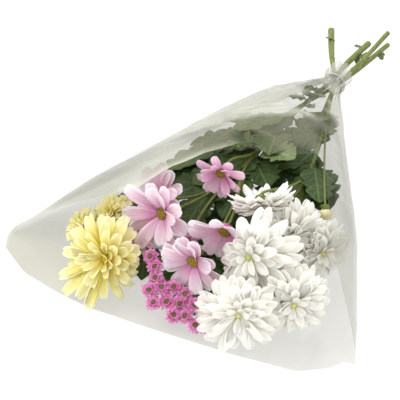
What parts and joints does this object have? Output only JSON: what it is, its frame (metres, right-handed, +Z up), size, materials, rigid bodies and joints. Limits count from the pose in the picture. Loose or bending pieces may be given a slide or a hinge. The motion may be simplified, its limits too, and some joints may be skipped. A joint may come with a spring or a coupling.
{
  "type": "flower bouquet",
  "caption": "Bunch of spray chrysanthemums in white, pink, yellow and magenta, lying in a clear film sleeve gathered by a band round the cut stems.",
  "frame": {"origin": "middle of the footprint, on the surface that the bunch lies on", "axes": "+X along the bunch from the cut stems to the open mouth, +Y to its right when looking from the stems to the mouth with the blooms up, +Z up"},
  "size_m": [0.6386, 0.4384, 0.1375],
  "materials": {
    "clear_film": "gloss",
    "band": "gloss",
    "stem_green": "satin",
    "petal_pink": "satin",
    "petal_white": "satin",
    "petal_yellow": "satin",
    "petal_magenta": "satin",
    "disc_olive": "matte",
    "centre_yellow": "matte",
    "bud_cream": "satin"
  },
  "bodies": {
    "root": {"band": "band", "magenta_petals": "petal_magenta", "pink_1_disc": "disc_olive", "pink_1_petals": "petal_pink", "pink_2_disc": "disc_olive", "pink_2_petals": "petal_pink", "pink_3_disc": "disc_olive", "pink_3_petals": "petal_pink", "pink_4_disc": "disc_olive", "pink_4_petals": "petal_pink", "pink_5_disc": "disc_olive", "pink_5_petals": "petal_pink", "pink_6_disc": "disc_olive", "pink_6_petals": "petal_pink", "pink_7_disc": "disc_olive", "pink_7_petals": "petal_pink", "sleeve": "clear_film", "stem_magenta": "stem_green", "stem_pink": "stem_green", "stem_white": "stem_green", "stem_yellow": "stem_green", "white_1_centre": "centre_yellow", "white_1_petals": "petal_white", "white_2_centre": "centre_yellow", "white_2_petals": "petal_white", "white_3_centre": "centre_yellow", "white_3_petals": "petal_white", "white_4_centre": "centre_yellow", "white_4_petals": "petal_white", "white_5_centre": "centre_yellow", "white_5_petals": "petal_white", "white_6_centre": "centre_yellow", "white_6_petals": "petal_white", "white_bud": "bud_cream", "yellow_1_petals": "petal_yellow", "yellow_2_petals": "petal_yellow", "yellow_3_petals": "petal_yellow"}
  },
  "joints": []
}
